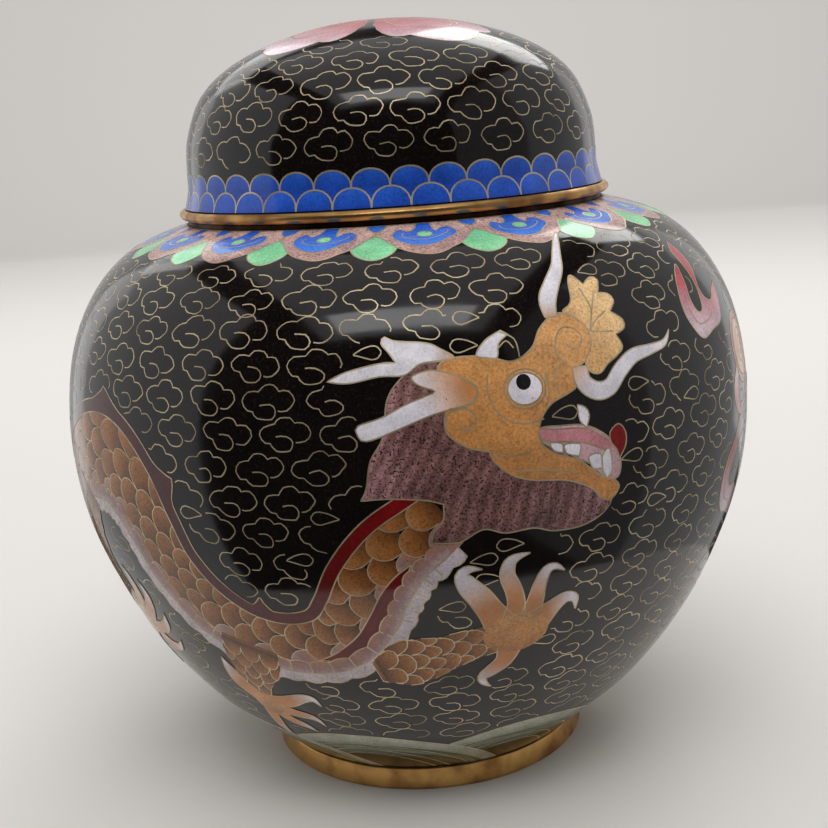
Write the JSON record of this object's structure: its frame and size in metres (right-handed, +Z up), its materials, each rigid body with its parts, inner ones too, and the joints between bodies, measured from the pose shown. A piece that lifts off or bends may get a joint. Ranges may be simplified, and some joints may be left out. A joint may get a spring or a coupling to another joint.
{
  "type": "lidded jar",
  "caption": "Lidded cloisonne jar: enamelled copper body with dragon and cloud wires, domed lift-off lid, gilt rims and foot ring.",
  "frame": {"origin": "middle of the foot ring's resting face, on the jar's axis", "axes": "+Z up the jar's axis; the dragon's head faces -Y, its tail runs round to the back by way of -X"},
  "size_m": [0.1858, 0.1858, 0.2008],
  "materials": {
    "copper": "spun copper sheet, dull",
    "gilt_brass": "turned and gilt, satin with a worn edge",
    "cloison_wire": "ground flush with the enamel, slightly tarnished",
    "black_enamel": "polished glass enamel with fine pits",
    "blue_enamel": "polished opaque enamel",
    "celadon_enamel": "polished opaque enamel, shaded green to white",
    "rose_enamel": "granular dusty pink enamel, polished",
    "ochre_enamel": "mottled ochre to orange enamel, polished",
    "white_enamel": "opaque white enamel, polished",
    "red_enamel": "dark red enamel, polished",
    "green_enamel": "opaque light green enamel, polished",
    "turquoise_enamel": "counter-enamel, uneven gloss"
  },
  "bodies": {
    "jar": {"lower_shell": "copper", "upper_shell": "copper", "body_enamel": "black_enamel", "wave_border_enamel": "celadon_enamel", "shoulder_border_enamel": "rose_enamel", "interior_enamel": "turquoise_enamel", "neck_collar": "copper", "neck_enamel": "black_enamel", "neck_lip_ring": "gilt_brass", "seat_ring": "gilt_brass", "foot_ring": "gilt_brass", "base_enamel": "turquoise_enamel"},
    "lid": {"lid_shell": "copper", "lid_interior_enamel": "turquoise_enamel", "lid_enamel": "black_enamel", "lid_scale_border_enamel": "blue_enamel", "lid_rim_ring": "gilt_brass"}
  },
  "joints": [
    {"name": "lid_lift", "type": "slide", "parent": "jar", "child": "lid", "axis": [0, 0, 1], "range_m": [0, 0.08]}
  ]
}
